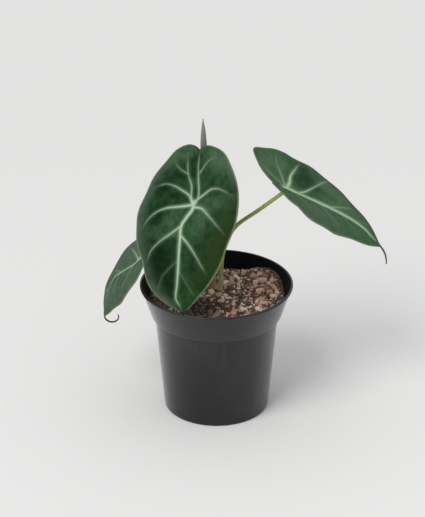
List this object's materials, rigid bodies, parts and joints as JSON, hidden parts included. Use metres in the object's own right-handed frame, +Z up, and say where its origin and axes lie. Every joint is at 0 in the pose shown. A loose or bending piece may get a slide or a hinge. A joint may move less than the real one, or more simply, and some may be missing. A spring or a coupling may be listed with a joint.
{
  "type": "potted black velvet alocasia",
  "caption": "Velvet-leaved alocasia in a round plastic nursery pot, with pale-veined shield-shaped leaves on arching stalks above the soil.",
  "frame": {"origin": "middle of the pot's flat underside, on the surface that the pot stands on", "axes": "+Z up along the pot's axis, +X to the viewer's right where the long right leaf points, -Y toward the viewer"},
  "size_m": [0.2016, 0.108, 0.212],
  "materials": {
    "pot": "smooth satin black",
    "soil": "loose potting mix with bark and pale grit",
    "leaf": "dark green velvet with pale silvery veins",
    "petiole": "smooth pale yellow green",
    "young_leaf": "dull grey green"
  },
  "bodies": {
    "root": {"pot": "pot", "soil": "soil", "blade_front": "leaf", "blade_right": "leaf", "blade_left": "leaf", "leaf_young": "young_leaf", "petiole_front": "petiole", "petiole_right": "petiole", "petiole_left": "petiole", "petiole_young": "petiole"}
  },
  "joints": []
}
